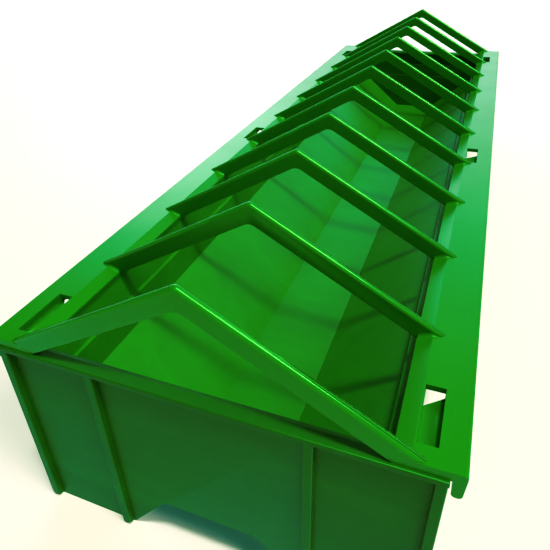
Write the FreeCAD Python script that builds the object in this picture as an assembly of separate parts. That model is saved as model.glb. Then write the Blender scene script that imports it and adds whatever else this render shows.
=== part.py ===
"""Long poultry feeder: a moulded trough on two end plates, and a clip-on grille lid of gable bars.

Frame: origin at the bottom centre, X across, Y along the trough, Z up. The front is -Y. Millimetres.
The trough and the lid are each one moulding. Their walls, rails and bars are separate solids that meet
face to face, so that each can be named, weighed and given its own collision pieces.
"""
import FreeCAD, Part
import math
import os

V = FreeCAD.Vector

# Overall
LID_LENGTH = 507.3
LID_WIDTH = 158.8
LID_TOP = 84.0            # height of the rails' flat top above the floor
APEX_RISE = 39.5          # the bars' ridge above the rails' flat top

# Lid rails
PLATE_THICK = 2.0
SEAT_DROP = 3.0           # the lid's lips rest on the trough this far below the flat top
RAIL_INNER = 60.0
BEVEL_INNER_DROP = 1.8
BEVEL_OUTER = 65.0
LIP_OUTER = 63.0
SKIRT_INNER = 75.8
SKIRT_DROP = 9.0
SKIRT_TAPER = 0.7         # how far the skirt's outer face leans in by its lower edge
RAIL_EDGE_ROUND = 0.9
END_LIP = 3.0

# Gable bars
BAR_COUNT = 11
BAR_THICK = 3.0
BAR_FOOT = 69.0           # half-width at which a bar's upper edge meets the rail
BAR_DEPTH = 6.9           # across the bar, at right angles to its slope
BAR_EDGE_ROUND = 1.45
APEX_ROUND = 2.6
CROTCH_ROUND = 4.0

# Latch windows and hooks
WINDOW_INNER = 65.5
WINDOW_OUTER = 71.4
WINDOW_LENGTH = 21.5
WINDOW_CENTRES = {"front": -236.5, "middle": -38.2, "rear": 214.2}
ARM_THICK = 2.0
ARM_END_REACH = 1.4       # past the window at each end
ARM_PIVOT_DROP = 3.3      # below the rails' flat top
NOSE_INNER = 65.85
NOSE_END_SLANT = 6.0      # how much shorter the nose is at its free edge, at each end
NOSE_TOP_DROP = 4.7
NOSE_THICK = 2.0
NOSE_CORNER = 1.6
NOSE_LEAD = 0.9

# Trough
WALL = 2.0
RIM_THICK = 1.5
RIM_OUTER = 65.7
CHANNEL_TOP = LID_TOP - SEAT_DROP
UPPER_WALL_TOP = 61.0
UPPER_WALL_FOOT = 58.6
LEDGE_Z = 68.0
LEDGE_INNER = 57.0
LOWER_WALL_FOOT = 55.5
SHOULDER_Z = 56.0
FLOOR_HALF = 17.5
FLOOR_Z = 23.0

# End plates
PLATE_OUTER_Y = 252.25
PLATE_HALF = 75.2         # at the rim
PLATE_DRAFT = 0.976       # the plate's width at the floor, as a share of that at the rim
PLATE_CORNER = 1.2
RIM_OVERHANG = 2.4
RIM_INNER_REACH = 2.2
RIM_INNER_DROP = 1.2
END_RIM_THICK = 2.0
STEP_THICK = 1.0
RIB_PLACES = (-73.4, -37.6, 37.6, 73.4)
RIB_THICK = 3.2
RIB_REACH = 2.3
RIB_ROUND = 2.2
ARCH_FOOT = 34.5
ARCH_TOP_Z = 20.0
ARCH_SLOPE = math.radians(51.0)
ARCH_ROUND = 6.0

HALF_LENGTH = LID_LENGTH / 2.0
BAR_PITCH = (LID_LENGTH - BAR_THICK) / (BAR_COUNT - 1)
PLATE_INNER_Y = PLATE_OUTER_Y - WALL


def prism_y(points, y_low, y_high):
    """Extrude an outline of (x, z) points from y_low to y_high."""
    corners = [V(x, y_low, z) for x, z in points]
    face = Part.Face(Part.makePolygon(corners + corners[:1]))
    return face.extrude(V(0, y_high - y_low, 0))


def box(x_low, x_high, y_low, y_high, z_low, z_high):
    """A box between two corners."""
    return Part.makeBox(x_high - x_low, y_high - y_low, z_high - z_low, V(x_low, y_low, z_low))


def edges_at(shape, direction, places):
    """The straight edges along direction ('x', 'y' or 'z') that pass through one of the places.

    A place gives the two other coordinates, in X, Y, Z order."""
    others = [axis for axis in "xyz" if axis != direction]
    found = []
    for edge in shape.Edges:
        if not isinstance(edge.Curve, Part.Line):
            continue
        ends = [vertex.Point for vertex in edge.Vertexes]
        run = ends[1] - ends[0]
        if abs(getattr(run, direction)) < 0.999 * run.Length:
            continue
        here = [getattr(ends[0], axis) for axis in others]
        for place in places:
            if math.dist(here, place) < 0.01:
                found.append(edge)
    return found


def mirrored(shape, normal):
    """The shape reflected in the plane through the origin with this normal."""
    return shape.mirror(V(0, 0, 0), normal)


def channel_inner():
    """Half of the trough's inner outline, from the rim down to the middle of its floor."""
    return [
        (UPPER_WALL_TOP, CHANNEL_TOP),
        (UPPER_WALL_FOOT, LEDGE_Z),
        (LEDGE_INNER, LEDGE_Z),
        (LOWER_WALL_FOOT, SHOULDER_Z),
        (FLOOR_HALF, FLOOR_Z),
    ]


def both_sides(half):
    """A half outline continued by its mirror image."""
    return half + [(-x, z) for x, z in reversed(half)]


def trough_channel():
    """The feed channel: steep stepped walls, sloping shoulders and a flat floor, with a narrow rim."""
    slope = math.atan2(SHOULDER_Z - FLOOR_Z, LOWER_WALL_FOOT - FLOOR_HALF)
    floor_edge = FLOOR_HALF + WALL * math.tan(slope / 2.0)
    shoulder = LOWER_WALL_FOOT + WALL
    shoulder_z = SHOULDER_Z - WALL * math.tan(slope / 2.0)
    outer = [
        (floor_edge, FLOOR_Z - WALL),
        (shoulder, shoulder_z),
        (LEDGE_INNER + WALL, LEDGE_Z - WALL),
        (UPPER_WALL_FOOT + WALL, LEDGE_Z - WALL),
        (UPPER_WALL_TOP + WALL, CHANNEL_TOP - RIM_THICK),
        (RIM_OUTER, CHANNEL_TOP - RIM_THICK),
        (RIM_OUTER, CHANNEL_TOP),
    ]
    section = outer + channel_inner()
    outline = section + [(-x, z) for x, z in reversed(section)]
    return prism_y(outline, -PLATE_INNER_Y, PLATE_INNER_Y)


def end_step(level, thickness):
    """A raised field on the end plate's inner face, filling the channel's outline below a level."""
    inside = prism_y(both_sides(channel_inner()), -PLATE_INNER_Y, -PLATE_INNER_Y + thickness)
    below = box(-UPPER_WALL_TOP, UPPER_WALL_TOP, -PLATE_OUTER_Y, 0, 0, level)
    return inside.common(below)


def end_rim():
    """The rim along the end plate's top: it overhangs outside, and its inner edge is bevelled."""
    top = CHANNEL_TOP
    under = CHANNEL_TOP - END_RIM_THICK
    y_out = -PLATE_OUTER_Y - RIM_OVERHANG
    y_flat = -PLATE_INNER_Y
    outer_part = box(-PLATE_HALF, PLATE_HALF, y_out, -PLATE_INNER_Y, under, top)
    y_edge = y_flat + RIM_INNER_REACH
    corners = [(y_flat, top), (y_edge, top - RIM_INNER_DROP), (y_edge, under), (y_flat, under)]
    points = [V(-RIM_OUTER, y, z) for y, z in corners]
    bevel = Part.Face(Part.makePolygon(points + points[:1])).extrude(V(2 * RIM_OUTER, 0, 0))
    inside = prism_y(both_sides(channel_inner()), -PLATE_OUTER_Y, 0)
    rim = outer_part.fuse(bevel.common(inside)).removeSplitter()
    soft = edges_at(rim, "x", [(y_out, top), (y_out, under)])
    return rim.makeFillet(RAIL_EDGE_ROUND / 2.0, soft)


def end_plate():
    """The front end plate: a full-height wall that the trough stands on, ribbed outside, arched below."""
    arch_lean = ARCH_TOP_Z / math.tan(ARCH_SLOPE)
    foot_half = PLATE_HALF * PLATE_DRAFT
    outline = [
        (-PLATE_HALF, CHANNEL_TOP),
        (-foot_half, 0),
        (-ARCH_FOOT, 0),
        (-ARCH_FOOT + arch_lean, ARCH_TOP_Z),
        (ARCH_FOOT - arch_lean, ARCH_TOP_Z),
        (ARCH_FOOT, 0),
        (foot_half, 0),
        (PLATE_HALF, CHANNEL_TOP),
    ]
    plate = prism_y(outline, -PLATE_OUTER_Y, -PLATE_INNER_Y)
    crown_half = ARCH_FOOT - arch_lean
    crown = edges_at(plate, "y", [(-crown_half, ARCH_TOP_Z), (crown_half, ARCH_TOP_Z)])
    plate = plate.makeFillet(ARCH_ROUND, crown)
    corners = edges_at(plate, "y", [(-foot_half, 0), (foot_half, 0)])
    plate = plate.makeFillet(PLATE_CORNER, corners)
    pieces = [end_rim(), end_step(LEDGE_Z, STEP_THICK), end_step(SHOULDER_Z, 2 * STEP_THICK)]
    for x in RIB_PLACES:
        pieces.append(rib(x))
    return plate.multiFuse(pieces).removeSplitter()


def rib(x):
    """One upright rib on the end plate's outer face, leaning with the draft, its foot rounded."""
    y_out = -PLATE_OUTER_Y - RIB_REACH
    y_in = -PLATE_OUTER_Y + WALL / 2.0
    top = CHANNEL_TOP - END_RIM_THICK / 2.0
    half = RIB_THICK / 2.0
    foot = x * PLATE_DRAFT
    outline = [(foot - half, 0), (foot + half, 0), (x + half, top), (x - half, top)]
    upright = prism_y(outline, y_out, y_in)
    upright = upright.makeFillet(RIB_ROUND, edges_at(upright, "x", [(y_out, 0)]))
    soft = []
    for edge in upright.Edges:
        if edge.BoundBox.YMax < y_out + 0.01 and edge.BoundBox.ZLength > half:
            soft.append(edge)
    return upright.makeFillet(RAIL_EDGE_ROUND / 2.0, soft)


def rail_blank():
    """The right rail without its windows: a flat plate, a bevelled inner edge and an outer skirt."""
    half = LID_WIDTH / 2.0
    outline = [
        (RAIL_INNER, LID_TOP - SEAT_DROP),
        (RAIL_INNER, LID_TOP - BEVEL_INNER_DROP),
        (BEVEL_OUTER, LID_TOP),
        (half, LID_TOP),
        (half - SKIRT_TAPER, LID_TOP - SKIRT_DROP),
        (SKIRT_INNER, LID_TOP - SKIRT_DROP),
        (SKIRT_INNER, LID_TOP - PLATE_THICK),
        (LIP_OUTER, LID_TOP - PLATE_THICK),
        (LIP_OUTER, LID_TOP - SEAT_DROP),
    ]
    rail = prism_y(outline, -HALF_LENGTH, HALF_LENGTH)
    lip_low = LID_TOP - SEAT_DROP
    lip_high = LID_TOP - PLATE_THICK
    for y_low in (-HALF_LENGTH, HALF_LENGTH - END_LIP):
        lip = box(LIP_OUTER, SKIRT_INNER, y_low, y_low + END_LIP, lip_low, lip_high)
        rail = rail.fuse(lip)
    rail = rail.removeSplitter()
    top_edges = edges_at(rail, "y", [(half, LID_TOP)])
    rail = rail.makeFillet(RAIL_EDGE_ROUND, top_edges)
    low = LID_TOP - SKIRT_DROP
    low_edges = edges_at(rail, "y", [(half - SKIRT_TAPER, low), (SKIRT_INNER, low)])
    return rail.makeFillet(1.3, low_edges)


def rail():
    """The right rail with its three latch windows."""
    blank = rail_blank()
    for centre in WINDOW_CENTRES.values():
        y_low = centre - WINDOW_LENGTH / 2.0
        y_high = centre + WINDOW_LENGTH / 2.0
        z_low = LID_TOP - 2 * PLATE_THICK
        window = box(WINDOW_INNER, WINDOW_OUTER, y_low, y_high, z_low, LID_TOP + PLATE_THICK)
        blank = blank.cut(window)
    return blank


def bar(y_middle):
    """One gable bar: two sloping legs that meet in a rounded ridge, cut to sit on the rails."""
    slope = math.atan2(APEX_RISE, BAR_FOOT)
    drop = BAR_DEPTH / math.cos(slope)
    fall = math.tan(slope)
    ridge = LID_TOP + APEX_RISE
    under = ridge - drop - fall * RAIL_INNER
    half = [
        (0.0, ridge),
        (BAR_FOOT, LID_TOP),
        (BEVEL_OUTER, LID_TOP),
        (RAIL_INNER, LID_TOP - BEVEL_INNER_DROP),
        (RAIL_INNER, under),
        (0.0, ridge - drop),
    ]
    outline = half + [(-x, z) for x, z in reversed(half[1:-1])]
    shape = prism_y(outline, y_middle - BAR_THICK / 2.0, y_middle + BAR_THICK / 2.0)
    shape = shape.makeFillet(APEX_ROUND, edges_at(shape, "y", [(0.0, ridge)]))
    shape = shape.makeFillet(CROTCH_ROUND, edges_at(shape, "y", [(0.0, ridge - drop)]))
    return shape.makeFillet(BAR_EDGE_ROUND, upper_edges(shape, fall, ridge))


def upper_edges(shape, fall, ridge):
    """The edges along a bar's upper face: on both legs and round the ridge."""
    found = []
    for edge in shape.Edges:
        middle = edge.CenterOfMass
        ends = [vertex.Point for vertex in edge.Vertexes]
        level = abs(ends[0].y - ends[-1].y) < 0.01
        height = ridge - fall * abs(middle.x) - middle.z
        on_leg = abs(height) < 0.01
        on_ridge = abs(middle.x) < 0.01 and 0 < height < APEX_ROUND
        if level and (on_leg or on_ridge):
            found.append(edge)
    return found


def hook(y_middle):
    """A right-hand latch hook: an arm that flexes at its rounded root, with a nose under the window."""
    arm_inner = WINDOW_OUTER
    arm_outer = WINDOW_OUTER + ARM_THICK
    pivot_z = LID_TOP - ARM_PIVOT_DROP
    nose_top = LID_TOP - NOSE_TOP_DROP
    nose_low = nose_top - NOSE_THICK
    arm_half = WINDOW_LENGTH / 2.0 + ARM_END_REACH
    y_near = y_middle - arm_half
    y_far = y_middle + arm_half
    arm = box(arm_inner, arm_outer, y_near, y_far, nose_low, pivot_z)
    pivot = V(arm_inner + ARM_THICK / 2.0, y_near, pivot_z)
    root = Part.makeCylinder(ARM_THICK / 2.0, 2 * arm_half, pivot, V(0, 1, 0))
    plan = [
        (arm_outer, y_near),
        (arm_outer, y_far),
        (NOSE_INNER, y_far - NOSE_END_SLANT),
        (NOSE_INNER, y_near + NOSE_END_SLANT),
    ]
    corners = [V(x, y, nose_low) for x, y in plan]
    nose = Part.Face(Part.makePolygon(corners + corners[:1])).extrude(V(0, 0, NOSE_THICK))
    nose = nose.makeFillet(NOSE_CORNER, edges_at(nose, "z", plan[2:]))
    ramp = [
        (NOSE_INNER - 1, nose_low - 1),
        (NOSE_INNER + 1 + NOSE_LEAD, nose_low - 1),
        (NOSE_INNER - 1, nose_low + 1 + NOSE_LEAD),
    ]
    lead = prism_y(ramp, y_near, y_far)
    return arm.multiFuse([root, nose.cut(lead)]).removeSplitter()


def save(name, shape):
    """Write one named solid."""
    if not shape.isValid() or len(shape.Solids) != 1:
        raise RuntimeError(name + " is not one valid solid")
    shape.Solids[0].exportStep("parts/" + name + ".step")


def main():
    """Build every piece and write it."""
    os.makedirs("parts", exist_ok=True)
    save("trough_channel", trough_channel())
    front = end_plate()
    save("end_plate_front", front)
    save("end_plate_rear", mirrored(front, V(0, 1, 0)))
    right = rail()
    save("rail_right", right)
    save("rail_left", mirrored(right, V(1, 0, 0)))
    for index in range(BAR_COUNT):
        y_middle = -HALF_LENGTH + BAR_THICK / 2.0 + index * BAR_PITCH
        save("bar_%02d" % (index + 1), bar(y_middle))
    for place, centre in WINDOW_CENTRES.items():
        right_hook = hook(centre)
        save("hook_%s_right" % place, right_hook)
        save("hook_%s_left" % place, mirrored(right_hook, V(1, 0, 0)))


main()
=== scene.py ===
import math

import bmesh
import bpy
from mathutils import Matrix, Vector


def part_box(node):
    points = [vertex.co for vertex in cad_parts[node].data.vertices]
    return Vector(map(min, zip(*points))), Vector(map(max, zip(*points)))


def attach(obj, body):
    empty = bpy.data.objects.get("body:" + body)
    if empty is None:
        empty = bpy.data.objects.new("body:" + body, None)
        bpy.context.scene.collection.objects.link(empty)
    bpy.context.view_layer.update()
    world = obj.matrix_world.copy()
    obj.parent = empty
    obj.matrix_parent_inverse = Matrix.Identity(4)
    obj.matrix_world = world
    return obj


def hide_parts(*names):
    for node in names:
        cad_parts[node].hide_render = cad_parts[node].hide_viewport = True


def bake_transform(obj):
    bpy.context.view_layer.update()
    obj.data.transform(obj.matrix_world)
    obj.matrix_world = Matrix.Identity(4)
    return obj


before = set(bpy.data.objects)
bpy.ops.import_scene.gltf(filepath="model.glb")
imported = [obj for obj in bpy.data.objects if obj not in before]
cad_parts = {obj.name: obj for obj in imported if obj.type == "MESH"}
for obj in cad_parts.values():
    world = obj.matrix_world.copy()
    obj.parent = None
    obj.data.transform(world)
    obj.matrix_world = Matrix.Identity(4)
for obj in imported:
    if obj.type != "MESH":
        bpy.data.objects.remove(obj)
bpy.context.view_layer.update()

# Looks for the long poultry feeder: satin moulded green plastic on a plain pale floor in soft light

MM = 0.001

# Camera: where it stands in the row frame, how it is turned in degrees, and its lens
CAMERA_PLACE = (0.06731, -0.34882, 0.20574)
CAMERA_YAW = 22.63
CAMERA_PITCH = 29.08
CAMERA_ROLL = -2.27
CAMERA_SENSOR = 36.0
CAMERA_LENS = 34.88
CAMERA_SHIFT = (0.0155, -0.1001)
CAMERA_NEAREST = 0.01

# Lights: the way towards each one, how many degrees wide it looks, and its strength
KEY_FROM = (0.19, -0.165, 1.0)
KEY_ANGLE = 7.0
KEY_STRENGTH = 3.25
SIDE_FROM = (0.63, -0.147, 0.76)        # a softer light on the right
SIDE_ANGLE = 19.0
SIDE_STRENGTH = 1.9
LAMP_COLOR = (1.0, 0.92, 0.76)
GLEAM_FROM = (0.53, -0.15, 0.83)        # a broad light that only gives highlights
GLEAM_ANGLE = 30.0
GLEAM_STRENGTH = 13.0
GLEAM_COLOR = (1.0, 0.50, 0.42)         # offsets the plastic's green gloss, so highlights come out pale

# Studio: broad soft areas that the plastic reflects, between limits given as parts of a direction
SKY_COLOR = (0.80, 0.97, 1.02)
HORIZON = 0.36                          # brightness low down, all round
HORIZON_SIDE = (-0.6, 0.5, 0.2, 1.6)    # which grows towards the right
HORIZON_TOP = (0.28, 0.62)              # and fades with height
WALL = 2.05                             # brightness of a pale wall beyond the far end
WALL_SIDE = (0.50, 0.76)                # which fades away sideways,
WALL_TOP = (0.48, 0.88)                 # upwards
WALL_FOOT = (0.04, 0.18, 0.25, 1.0)     # and near the ground,
WALL_LEFT = (-0.42, -0.26, 1.45, 0.9)   # and is brighter on the left
PATCH = 1.3                             # brightness of a soft panel in that wall, to its left
PATCH_TOWARDS = (-0.4289, 0.8066, 0.4067)
PATCH_EDGE = (0.975, 0.995)
BACKDROP_COLOR = (1.0, 1.0, 0.985)

# Table top
FLOOR_COLOR = (0.66, 0.66, 0.66)
FLOOR_ROUGHNESS = 0.45
FLOOR_HALF = 4.0
FLOOR_CELLS = 8
MOTTLE_SCALE = 3.0
MOTTLE = (0.985, 1.015)

# Plastic: the colour and gloss of each part, and the scale and strength of its flow lines
TROUGH_LOOK = {
    "color": (0.013, 0.150, 0.008),
    "ior": 1.5,
    "roughness": 0.34,
    "flow_scale": (14.0, 40.0, 55.0),
    "flow_strength": 0.09,
}
# The end plates are of the trough's plastic, but coloured much darker: painted shade for their faces turned
# to the front, which get little light
PLATE_LOOK_WITH_PAINTED_SHADE = {
    "color": (0.009, 0.088, 0.006),
    "ior": 1.38,
    "roughness": 0.40,
    "flow_scale": (9.0, 30.0, 34.0),
    "flow_strength": 0.16,
}
LID_LOOK = {
    "color": (0.013, 0.172, 0.009),
    "ior": 1.47,
    "roughness": 0.24,
    "flow_scale": (40.0, 9.0, 60.0),
    "flow_strength": 0.03,
}
GLOSS_TINT = (0.16, 1.0, 0.25, 1.0)

# Fine detail in every plastic: noise scales, how far each changes the tone or roughness, and its bumps
NOISE_SPAN = (0.3, 0.7)                 # the values between which noise mostly lies
CLOUD_SCALE = 14.0
CLOUD_STRENGTH = 0.05
SCUFF_SCALE = (900.0, 60.0, 900.0)
SCUFF_RANGE = (0.66, 0.74, 0.0, 0.05)   # only the peaks of the noise are scuffs
WEAR_SCALE = 40.0
WEAR_RANGE = (0.35, 0.7, -0.02, 0.03)
GRAIN_SCALE = 2600.0
GRAIN_BUMP = (0.05, 0.02 * MM)          # a bump's strength and depth
SINK_SCALE = 32.0
SINK_BUMP = (0.35, 0.4 * MM)
FLOW_BUMP = (0.25, 0.1 * MM)

# The photograph's strong colour: dark reds, greens and blues are held down
RED_TOE = ((0.02, 0.008), (0.11, 0.020), (0.19, 0.085), (0.40, 0.34))
GREEN_TOE = ((0.05, 0.034), (0.12, 0.098), (0.22, 0.215), (0.34, 0.37), (0.6, 0.66))
BLUE_TOE = ((0.04, 0.014), (0.15, 0.095), (0.40, 0.37))

# Edges
CREASE = 34.0                           # degrees: a sharper turn than this counts as an edge
FLAT = 1.0                              # degrees: faces that turn less than this are joined into one
WELD_GAP = 0.01 * MM
EDGE_ROUND = 0.35 * MM
EDGE_SEGMENTS = 3
HOOK_EDGE = 0.25 * MM
ARC_STEPS = 6
BLEND_SINK = 0.15 * MM                  # how deep a fillet reaches into what it joins
SKIN = 0.02 * MM                        # how far the thinnest stretches stand proud

# The lid's rails and bars, as in the CAD model
PLACES = ("front", "middle", "rear")
SIDES = ((1, "right"), (-1, "left"))
lid_low, lid_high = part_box("rail_right")
RAIL_INNER = lid_low.x
LID_TOP = lid_high.z
BEVEL_OUTER = RAIL_INNER + 5.0 * MM
BEVEL_DROP = 1.8 * MM
WINDOW_HALF = 10.75 * MM
BAR_COUNT = 11
BAR_FOOT = 69.0 * MM
BAR_EDGE = 1.45 * MM
LEAST_FLAT = 0.05 * MM                  # the flat face left where a bar runs out

# Fillets at the bars' feet, and the fillers at the end bars
FOOT_BLEND = 1.3 * MM
BLEND_START = RAIL_INNER + 0.1 * MM
BLEND_END = BAR_FOOT - 2.5 * MM
BEVEL_STEPS = 4
TOP_STEPS = 6
END_ZONE = 1.0 * MM                     # a bar's face this close to the rail's end is an end face
FILLER_RISE = 0.7 * MM
FILLER_DEPTH = 1.0 * MM
FILLER_FADE = BAR_FOOT - 4.0 * MM

# Latch hooks: arms as in the CAD model, with fuller noses and a fillet between the two
ARM_INNER = 71.4 * MM
ARM_OUTER = 73.4 * MM
ARM_TOP = LID_TOP - 1.7 * MM
ARM_REACH = 1.4 * MM                    # how far the arm goes past the window, at each end
ARM_LOOP = 1.0 * MM                     # the extra rows of points near the arm's ends
NOSE_INNER = 65.3 * MM
NOSE_REACH = 2.6 * MM
NOSE_SLANT = 6.7 * MM
NOSE_THICK = 2.0 * MM
NOSE_CORNER = 2.4 * MM
NOSE_FILLET = 2.2 * MM
FILLET_FLAT = 8.5 * MM                  # half-length over which the fillet is at its full size
FILLET_END = 10.4 * MM


def new_object(name, mesh):
    """An object at the origin, in the scene."""
    obj = bpy.data.objects.new(name, mesh)
    bpy.context.scene.collection.objects.link(obj)
    return obj


def loft(bm, rings):
    """Join rings of points into one closed skin, with a cap at each end."""
    rows = [[bm.verts.new(point) for point in ring] for ring in rings]
    count = len(rows[0])
    for near, far in zip(rows[:-1], rows[1:]):
        for i in range(count):
            j = (i + 1) % count
            bm.faces.new((near[i], near[j], far[j], far[i]))
    bm.faces.new(list(reversed(rows[0])))
    bm.faces.new(rows[-1])


def finished(name, bm, material, body):
    """Turn a bmesh into a smooth-shaded piece, which rides on a body if one is named."""
    bmesh.ops.recalc_face_normals(bm, faces=bm.faces)
    mesh = bpy.data.meshes.new(name)
    bm.to_mesh(mesh)
    bm.free()
    mesh.materials.append(material)
    piece = new_object(name, mesh)
    mesh.polygons.foreach_set("use_smooth", [True] * len(mesh.polygons))
    mesh.set_sharp_from_angle(angle=math.radians(CREASE))
    if body:
        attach(piece, body)
    return piece


def spread(low, high, steps):
    """Evenly spaced values from low to high, with both of them."""
    return [low + (high - low) * step / steps for step in range(steps + 1)]


def concave_arc(radius):
    """Points down a concave quarter round: how far out from its upright side, and how far up."""
    turns = spread(0.0, math.pi / 2.0, ARC_STEPS)
    return [(radius * (1.0 - math.cos(turn)), radius * (1.0 - math.sin(turn))) for turn in turns]


# ---------------------------------------------------------------- materials


class Graph:
    """Short names for building a node tree."""

    def __init__(self, tree):
        self.tree = tree

    def add(self, kind, **settings):
        node = self.tree.nodes.new(kind)
        for key, value in settings.items():
            if key in node.inputs:
                node.inputs[key].default_value = value
            else:
                setattr(node, key, value)
        return node

    def link(self, source, target):
        self.tree.links.new(source, target)

    def mapped(self, coordinates, scale):
        mapping = self.add("ShaderNodeMapping")
        mapping.inputs["Scale"].default_value = scale
        self.link(coordinates, mapping.inputs["Vector"])
        return mapping.outputs["Vector"]

    def noise(self, vector, scale, detail=2.0, roughness=0.5, distortion=0.0):
        node = self.add("ShaderNodeTexNoise", Scale=scale, Detail=detail)
        node.inputs["Roughness"].default_value = roughness
        node.inputs["Distortion"].default_value = distortion
        self.link(vector, node.inputs["Vector"])
        return node.outputs["Fac"]

    def remap(self, value, low, high, out_low, out_high):
        node = self.add("ShaderNodeMapRange")
        node.inputs["From Min"].default_value = low
        node.inputs["From Max"].default_value = high
        node.inputs["To Min"].default_value = out_low
        node.inputs["To Max"].default_value = out_high
        self.link(value, node.inputs["Value"])
        return node.outputs["Result"]

    def math(self, operation, first, second):
        node = self.add("ShaderNodeMath", operation=operation)
        for socket, value in zip(node.inputs, (first, second)):
            if isinstance(value, (int, float)):
                socket.default_value = value
            else:
                self.link(value, socket)
        return node.outputs["Value"]

    def bump(self, height, strength, distance, normal=None):
        node = self.add("ShaderNodeBump", Strength=strength, Distance=distance)
        self.link(height, node.inputs["Height"])
        if normal is not None:
            self.link(normal, node.inputs["Normal"])
        return node.outputs["Normal"]


def plastic(name, color, ior, roughness, flow_scale, flow_strength):
    """Injection-moulded plastic: cloudy pigment, faint flow lines, fine grain and a few scuffs."""
    material = bpy.data.materials.new(name)
    material.use_nodes = True
    graph = Graph(material.node_tree)
    shader = material.node_tree.nodes["Principled BSDF"]
    place = graph.add("ShaderNodeTexCoord").outputs["Object"]

    cloud = graph.noise(place, CLOUD_SCALE, detail=3.0)
    flow = graph.noise(graph.mapped(place, flow_scale), 1.0, detail=4.0, roughness=0.6, distortion=1.2)
    cloud_tone = graph.remap(cloud, *NOISE_SPAN, -CLOUD_STRENGTH, CLOUD_STRENGTH)
    flow_tone = graph.remap(flow, *NOISE_SPAN, -flow_strength, flow_strength)
    value = graph.math("ADD", graph.math("ADD", cloud_tone, flow_tone), 1.0)
    tint = graph.add("ShaderNodeHueSaturation", Color=(*color, 1.0))
    graph.link(value, tint.inputs["Value"])
    graph.link(tint.outputs["Color"], shader.inputs["Base Color"])

    scuffs = graph.noise(graph.mapped(place, SCUFF_SCALE), 1.0, detail=3.0, roughness=0.7)
    scuffed = graph.remap(scuffs, *SCUFF_RANGE)
    worn = graph.remap(graph.noise(place, WEAR_SCALE), *WEAR_RANGE)
    rough = graph.math("ADD", graph.math("ADD", scuffed, worn), roughness)
    graph.link(rough, shader.inputs["Roughness"])
    shader.inputs["IOR"].default_value = ior
    shader.inputs["Specular Tint"].default_value = GLOSS_TINT

    grain = graph.bump(graph.noise(place, GRAIN_SCALE), *GRAIN_BUMP)
    sink = graph.bump(graph.noise(place, SINK_SCALE, detail=1.0), *SINK_BUMP, normal=grain)
    ripple = graph.bump(flow, *FLOW_BUMP, normal=sink)
    graph.link(ripple, shader.inputs["Normal"])
    return material


def floor_material():
    """A pale neutral table top with a very faint mottle."""
    material = bpy.data.materials.new("table_top")
    material.use_nodes = True
    graph = Graph(material.node_tree)
    shader = material.node_tree.nodes["Principled BSDF"]
    place = graph.add("ShaderNodeTexCoord").outputs["Object"]
    tone = graph.remap(graph.noise(place, MOTTLE_SCALE), *NOISE_SPAN, *MOTTLE)
    tint = graph.add("ShaderNodeHueSaturation", Color=(*FLOOR_COLOR, 1.0))
    graph.link(tone, tint.inputs["Value"])
    graph.link(tint.outputs["Color"], shader.inputs["Base Color"])
    shader.inputs["Roughness"].default_value = FLOOR_ROUGHNESS
    return material


# ---------------------------------------------------------------- stage


def set_view():
    """The picture's own contrast: plain colours with a curve on each channel."""
    view = bpy.context.scene.view_settings
    view.view_transform = "Standard"
    view.look = "None"
    view.use_curve_mapping = True
    for channel, toe in enumerate((RED_TOE, GREEN_TOE, BLUE_TOE)):
        for point in toe:
            view.curve_mapping.curves[channel].points.new(*point)
    view.curve_mapping.update()


def make_camera():
    """A camera above and in front of the near end, turned to the left and looking down along the trough."""
    data = bpy.data.cameras.new("camera")
    data.sensor_width = CAMERA_SENSOR
    data.lens = CAMERA_LENS
    data.shift_x, data.shift_y = CAMERA_SHIFT
    data.clip_start = CAMERA_NEAREST
    camera = new_object("camera", data)
    yaw = Matrix.Rotation(math.radians(CAMERA_YAW), 4, "Z")
    pitch = Matrix.Rotation(math.radians(90.0 - CAMERA_PITCH), 4, "X")
    roll = Matrix.Rotation(math.radians(CAMERA_ROLL), 4, "Z")
    camera.matrix_world = Matrix.Translation(CAMERA_PLACE) @ yaw @ pitch @ roll
    bpy.context.scene.camera = camera


def make_distant_light(name, towards, strength, angle, color):
    """A light far away, with shadows softened by its angle."""
    data = bpy.data.lights.new(name, "SUN")
    data.energy = strength
    data.angle = math.radians(angle)
    data.color = color
    light = new_object(name, data)
    light.rotation_euler = Vector(towards).to_track_quat("Z", "Y").to_euler()
    return light


def make_lights():
    """Two lights that shine on everything, and one that only shows in the gloss."""
    make_distant_light("key", KEY_FROM, KEY_STRENGTH, KEY_ANGLE, LAMP_COLOR)
    make_distant_light("side", SIDE_FROM, SIDE_STRENGTH, SIDE_ANGLE, LAMP_COLOR)
    gleam = make_distant_light("gleam", GLEAM_FROM, GLEAM_STRENGTH, GLEAM_ANGLE, GLEAM_COLOR)
    gleam.visible_diffuse = False


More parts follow.
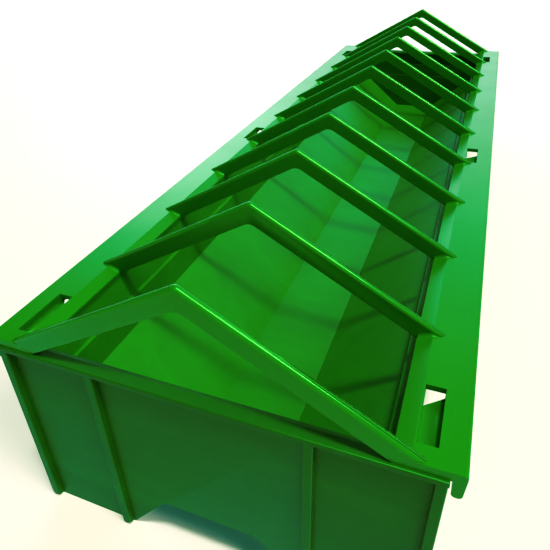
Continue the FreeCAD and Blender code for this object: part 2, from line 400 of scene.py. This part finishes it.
def make_sky():
    """A bright horizon, a pale wall beyond the far end and a dark ceiling; the camera sees plain white."""
    world = bpy.data.worlds.new("studio")
    bpy.context.scene.world = world
    world.use_nodes = True
    graph = Graph(world.node_tree)
    background = world.node_tree.nodes["Background"]
    direction = graph.add("ShaderNodeTexCoord").outputs["Generated"]
    split = graph.add("ShaderNodeSeparateXYZ")
    graph.link(direction, split.inputs["Vector"])
    sideways, ahead, height = split.outputs

    facing = graph.remap(ahead, *WALL_SIDE, 0.0, 1.0)
    wall = graph.math("MULTIPLY", facing, graph.remap(height, *WALL_TOP, WALL, 0.0))
    wall = graph.math("MULTIPLY", wall, graph.remap(height, *WALL_FOOT))
    wall = graph.math("MULTIPLY", wall, graph.remap(sideways, *WALL_LEFT))

    elsewhere = graph.math("SUBTRACT", 1.0, facing)
    horizon = graph.math("MULTIPLY", elsewhere, graph.remap(height, *HORIZON_TOP, HORIZON, 0.0))
    horizon = graph.math("MULTIPLY", horizon, graph.remap(sideways, *HORIZON_SIDE))

    closeness = graph.add("ShaderNodeVectorMath", operation="DOT_PRODUCT")
    graph.link(direction, closeness.inputs[0])
    closeness.inputs[1].default_value = PATCH_TOWARDS
    patch = graph.remap(closeness.outputs["Value"], *PATCH_EDGE, 0.0, PATCH)

    total = graph.math("ADD", graph.math("ADD", wall, horizon), patch)
    background.inputs["Color"].default_value = (*SKY_COLOR, 1.0)
    graph.link(total, background.inputs["Strength"])

    backdrop = graph.add("ShaderNodeBackground", Strength=1.0)
    backdrop.inputs["Color"].default_value = (*BACKDROP_COLOR, 1.0)
    seen = graph.add("ShaderNodeLightPath").outputs["Is Camera Ray"]
    mix = graph.add("ShaderNodeMixShader")
    graph.link(seen, mix.inputs["Fac"])
    graph.link(background.outputs["Background"], mix.inputs[1])
    graph.link(backdrop.outputs["Background"], mix.inputs[2])
    graph.link(mix.outputs["Shader"], world.node_tree.nodes["World Output"].inputs["Surface"])


def make_floor():
    """A wide plain table top under the feeder's feet."""
    bm = bmesh.new()
    bmesh.ops.create_grid(bm, x_segments=FLOOR_CELLS, y_segments=FLOOR_CELLS, size=FLOOR_HALF)
    mesh = bpy.data.meshes.new("table_top")
    bm.to_mesh(mesh)
    bm.free()
    mesh.materials.append(floor_material())
    new_object("table_top", mesh)


# ---------------------------------------------------------------- object


def soften(obj):
    """Round a CAD piece's hard edges a little, as a mould does."""
    weld = obj.modifiers.new("weld", "WELD")
    weld.merge_threshold = WELD_GAP
    clean = obj.modifiers.new("clean", "DECIMATE")
    clean.decimate_type = "DISSOLVE"
    clean.angle_limit = math.radians(FLAT)
    bevel = obj.modifiers.new("edges", "BEVEL")
    bevel.width = EDGE_ROUND
    bevel.segments = EDGE_SEGMENTS
    bevel.limit_method = "ANGLE"
    bevel.angle_limit = math.radians(CREASE)
    bevel.harden_normals = True
    bevel.use_clamp_overlap = True


def dress_cad(trough_plastic, plate_plastic_with_painted_shade, lid_plastic):
    """Give every CAD piece its plastic, and soften the edges of all but the channel."""
    for name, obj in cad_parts.items():
        obj.data.materials.clear()
        if name == "trough_channel":
            obj.data.materials.append(trough_plastic)
            continue
        # the end plates take the darker plastic, whose colour is painted shade
        obj.data.materials.append(plate_plastic_with_painted_shade if name.startswith("end_") else lid_plastic)
        soften(obj)


def rail_top(x):
    """Height of the rail's upper surface at a distance from the middle."""
    return LID_TOP - BEVEL_DROP * max(0.0, BEVEL_OUTER - x) / (BEVEL_OUTER - RAIL_INNER)


def flat_height(x):
    """How far a bar's flat face reaches above the rail, below its rounded upper edge."""
    apex_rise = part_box("bar_01")[1].z - LID_TOP
    bar_height = apex_rise * (BAR_FOOT - x) / BAR_FOOT + LID_TOP - rail_top(x)
    return max(LEAST_FLAT, bar_height - BAR_EDGE)


def foot_blend(bm, side, y_face, away, x_far):
    """A concave strip where a bar's face meets the rail, from the rail's inner edge outwards."""
    places = spread(BLEND_START, BEVEL_OUTER, BEVEL_STEPS)
    if x_far > BEVEL_OUTER:
        places += spread(BEVEL_OUTER, x_far, TOP_STEPS)[1:]
    y_inside = y_face - away * BLEND_SINK
    rings = []
    for x in places:
        radius = min(FOOT_BLEND, flat_height(x))
        base = rail_top(x)
        section = [(y_inside, base - BLEND_SINK), (y_inside, base + radius)]
        section += [(y_face + away * out, base + up) for out, up in concave_arc(radius)]
        section.append((y_face + away * radius, base - BLEND_SINK))
        rings.append([(side * x, y, z) for y, z in section])
    loft(bm, rings)


def end_filler(bm, side, y_face, away):
    """A skin over the seam between an end bar's foot and the rail's end face."""
    y_out = y_face + away * SKIN
    y_in = y_face - away * FILLER_DEPTH
    rings = []
    for x in (BLEND_START, BEVEL_OUTER, FILLER_FADE, BLEND_END):
        low = rail_top(x) - FILLER_DEPTH
        high = rail_top(x) + min(FILLER_RISE, flat_height(x))
        section = ((y_out, low), (y_out, high), (y_in, high), (y_in, low))
        rings.append([(side * x, y, z) for y, z in section])
    loft(bm, rings)


def make_foot_blends(material):
    """The moulded fillets at the bars' feet, kept to the rail's bevel beside a window."""
    windows = [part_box("hook_%s_right" % place) for place in PLACES]
    for side, hand in SIDES:
        bm = bmesh.new()
        for index in range(BAR_COUNT):
            low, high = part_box("bar_%02d" % (index + 1))
            for y_face, away in ((low.y, -1), (high.y, 1)):
                if abs(y_face) > abs(lid_low.y) - END_ZONE:
                    end_filler(bm, side, y_face, away)
                    continue
                reach = y_face + away * FOOT_BLEND
                cut = any(near.y + ARM_REACH < reach < far.y - ARM_REACH for near, far in windows)
                foot_blend(bm, side, y_face, away, BEVEL_OUTER if cut else BLEND_END)
        finished("foot_blends_" + hand, bm, material, "lid")


def nose_outline(grow):
    """The latch nose from above: a long trapezium with rounded free corners, grown or shrunk a little."""
    half_root = WINDOW_HALF + NOSE_REACH + grow
    half_tip = WINDOW_HALF + NOSE_REACH - NOSE_SLANT + grow
    lean = math.atan2(NOSE_SLANT, ARM_OUTER - NOSE_INNER)
    x_centre = NOSE_INNER - grow + NOSE_CORNER
    y_centre = half_tip - NOSE_CORNER * math.tan((math.pi / 2.0 - lean) / 2.0)
    first_turn = math.pi / 2.0 + lean
    upper = [(ARM_OUTER + grow, half_root)]
    for turn in spread(first_turn, math.pi, ARC_STEPS):
        upper.append((x_centre + NOSE_CORNER * math.cos(turn), y_centre + NOSE_CORNER * math.sin(turn)))
    return upper + [(x, -y) for x, y in reversed(upper)]


def nose_fillet(bm, side, y_middle, nose_top):
    """A concave fillet along the corner between the nose and its arm, running out at both ends."""
    stations = (
        (-FILLET_END, SKIN),
        (-FILLET_FLAT, NOSE_FILLET),
        (FILLET_FLAT, NOSE_FILLET),
        (FILLET_END, SKIN),
    )
    x_inside = ARM_INNER + BLEND_SINK
    z_inside = nose_top - BLEND_SINK
    rings = []
    for y, radius in stations:
        section = [(x_inside, z_inside), (x_inside, nose_top + radius)]
        section += [(ARM_INNER - out, nose_top + up) for out, up in concave_arc(radius)]
        section.append((ARM_INNER - radius, z_inside))
        rings.append([(side * x, y_middle + y, z) for x, z in section])
    loft(bm, rings)


def make_hook(name, side, material):
    """A latch hook grown from the rail: an upright arm, with a nose under the window and a fillet between
    the two.
    """
    low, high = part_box(name)
    y_middle = (low.y + high.y) / 2.0
    nose_low = low.z
    nose_top = nose_low + NOSE_THICK
    arm_half = WINDOW_HALF + ARM_REACH
    bm = bmesh.new()
    levels = (
        (nose_low, -HOOK_EDGE),
        (nose_low + HOOK_EDGE, 0.0),
        (nose_top - HOOK_EDGE, 0.0),
        (nose_top, -HOOK_EDGE),
    )
    loft(bm, [[(side * x, y_middle + y, z) for x, y in nose_outline(grow)] for z, grow in levels])
    corners = ((ARM_INNER, -arm_half), (ARM_OUTER, -arm_half), (ARM_OUTER, arm_half), (ARM_INNER, arm_half))
    heights = (nose_top - HOOK_EDGE, nose_top + ARM_LOOP, ARM_TOP - ARM_LOOP, ARM_TOP)
    loft(bm, [[(side * x, y_middle + y, z) for x, y in corners] for z in heights])
    nose_fillet(bm, side, y_middle, nose_top)
    piece = finished(name + "_moulded", bm, material, None)
    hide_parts(name)
    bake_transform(piece)


def make_hooks(material):
    """The six latch hooks."""
    for place in PLACES:
        for side, hand in SIDES:
            make_hook("hook_%s_%s" % (place, hand), side, material)


def main():
    """Build the stage and dress the feeder."""
    set_view()
    make_camera()
    make_lights()
    make_sky()
    make_floor()
    trough_plastic = plastic("trough_plastic", **TROUGH_LOOK)
    lid_plastic = plastic("lid_plastic", **LID_LOOK)
    # the end plates' plastic is the trough's, darkened as painted shade
    plate_plastic_with_painted_shade = plastic("plate_plastic_with_painted_shade", **PLATE_LOOK_WITH_PAINTED_SHADE)
    dress_cad(trough_plastic, plate_plastic_with_painted_shade, lid_plastic)
    make_foot_blends(lid_plastic)
    make_hooks(lid_plastic)


main()
